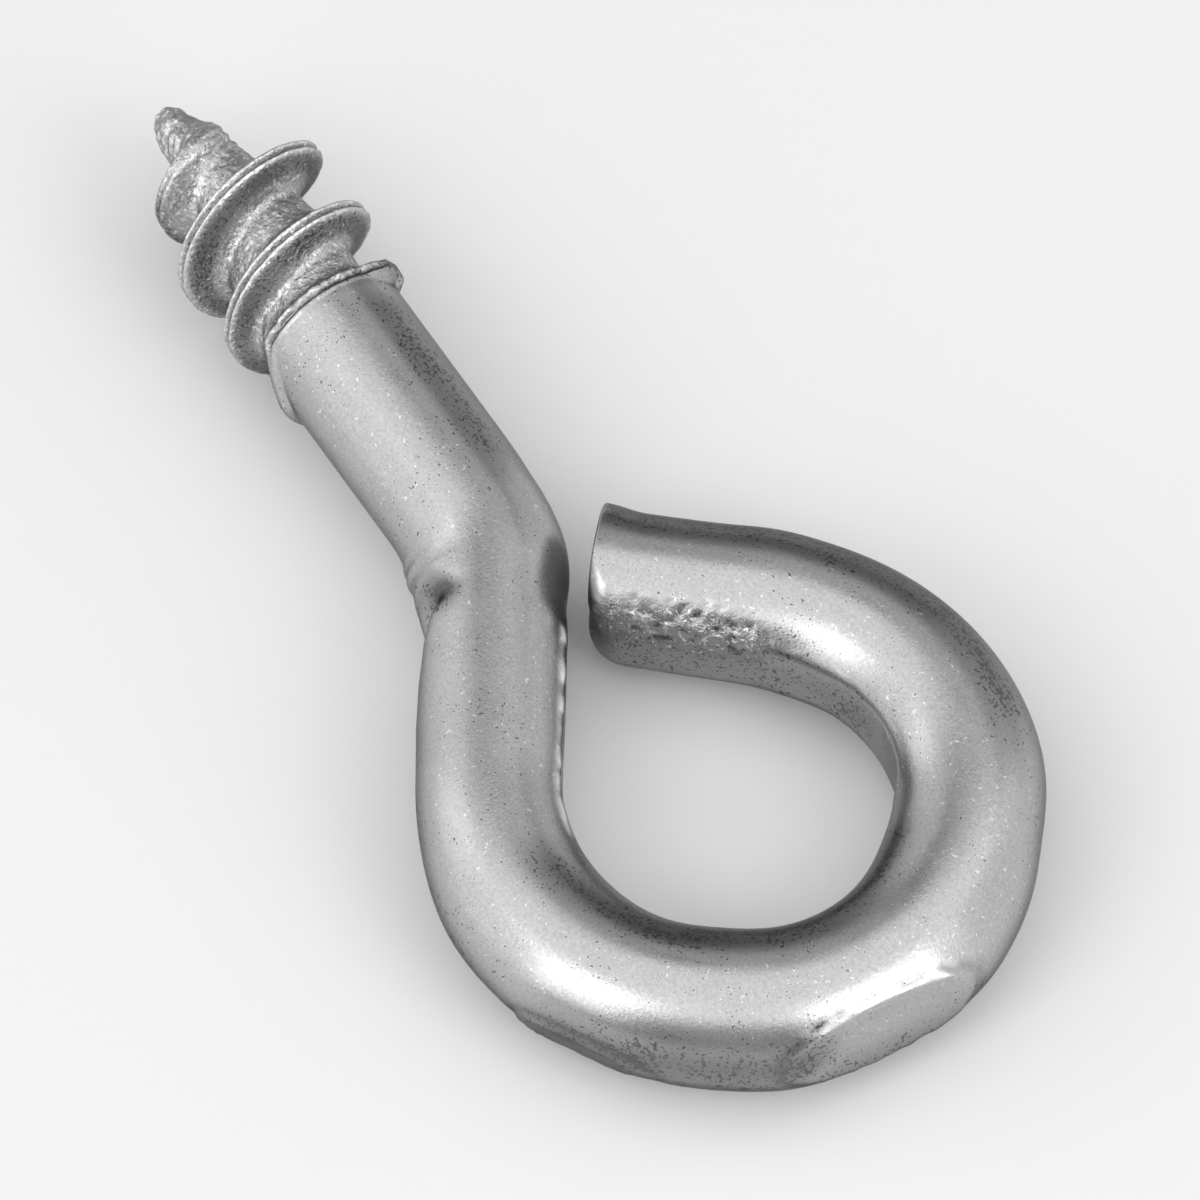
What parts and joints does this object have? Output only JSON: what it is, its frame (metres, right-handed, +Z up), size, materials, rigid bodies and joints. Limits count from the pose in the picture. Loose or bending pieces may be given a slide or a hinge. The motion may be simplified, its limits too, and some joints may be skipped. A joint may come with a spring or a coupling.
{
  "type": "screw eye",
  "caption": "Screw eye bent from round steel wire: a gimlet-point wood thread on a straight shank, cranked at a knee into a nearly closed round eye with a cut end.",
  "frame": {"origin": "on the surface it lies on, under the middle of its bounding box", "axes": "+X along the shank from the point to the eye, +Z up through the flat-lying eye, +Y to the side that the eye's cut end is on"},
  "size_m": [0.0285, 0.0136, 0.0042],
  "materials": {
    "zinc_plated_steel": "zinc plated, dull bright, finely speckled"
  },
  "bodies": {
    "root": {"screw_eye": "zinc_plated_steel"}
  },
  "joints": []
}
